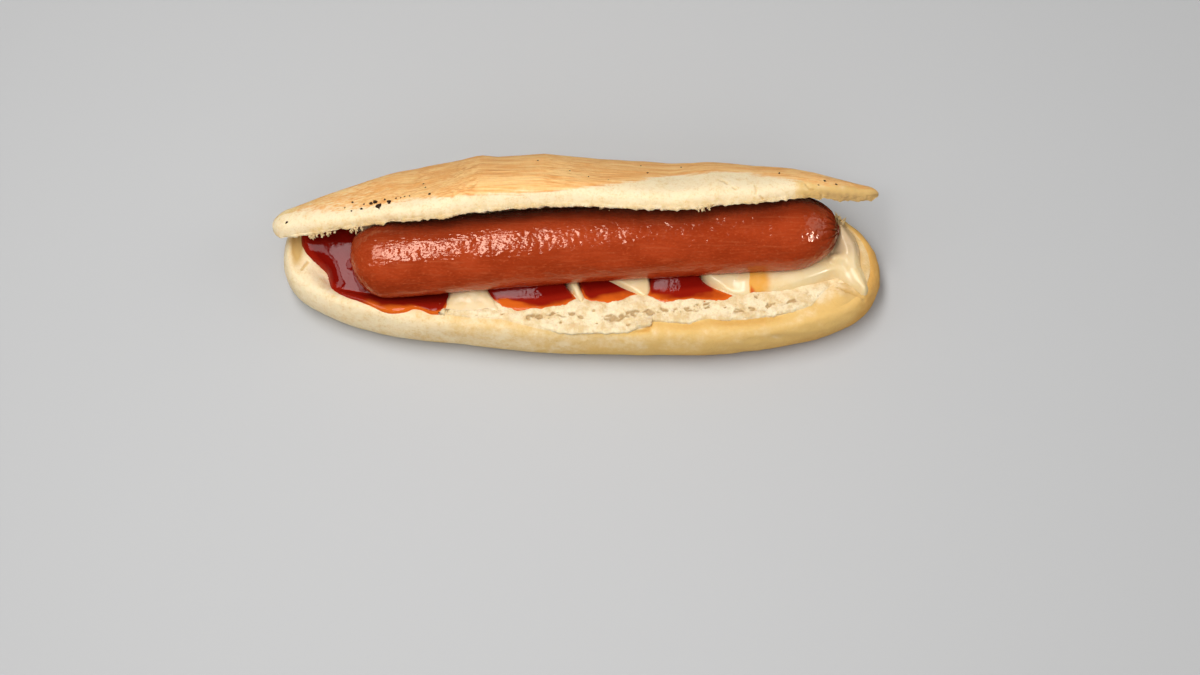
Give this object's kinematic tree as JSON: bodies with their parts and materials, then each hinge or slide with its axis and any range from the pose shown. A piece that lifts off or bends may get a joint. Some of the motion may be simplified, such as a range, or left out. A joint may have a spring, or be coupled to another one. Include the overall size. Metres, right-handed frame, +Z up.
{
  "type": "hot dog",
  "caption": "Hot dog: a smooth boiled sausage lying in a long split roll whose pressed, toasted upper half leans back over it, with ketchup and mayonnaise along the front.",
  "frame": {"origin": "middle of the hot dog's box at the level of the surface that it rests on", "axes": "+X along the roll, the sausage's tied end at +X; +Z up; the open side of the roll faces -Y and the joined side +Y"},
  "size_m": [0.2354, 0.0764, 0.0557],
  "materials": {
    "crust": "soft matte pale bread crust with torn open crumb",
    "toasted_crust": "pressed golden toasted crust with fine lengthwise streaks and a few char specks",
    "sausage_skin": "smooth moist red-brown skin, patchy gloss",
    "ketchup": "wet glossy deep red, orange-red where thin",
    "mayonnaise": "smooth satin cream"
  },
  "bodies": {
    "root": {"roll_lower_half": "crust", "roll_upper_half": "toasted_crust", "sausage": "sausage_skin", "ketchup_pool": "ketchup", "ketchup_patch_left": "ketchup", "ketchup_patch_middle": "ketchup", "ketchup_patch_right": "ketchup", "mayonnaise_patch_left": "mayonnaise", "mayonnaise_wedge": "mayonnaise", "mayonnaise_ribbon": "mayonnaise"}
  },
  "joints": []
}
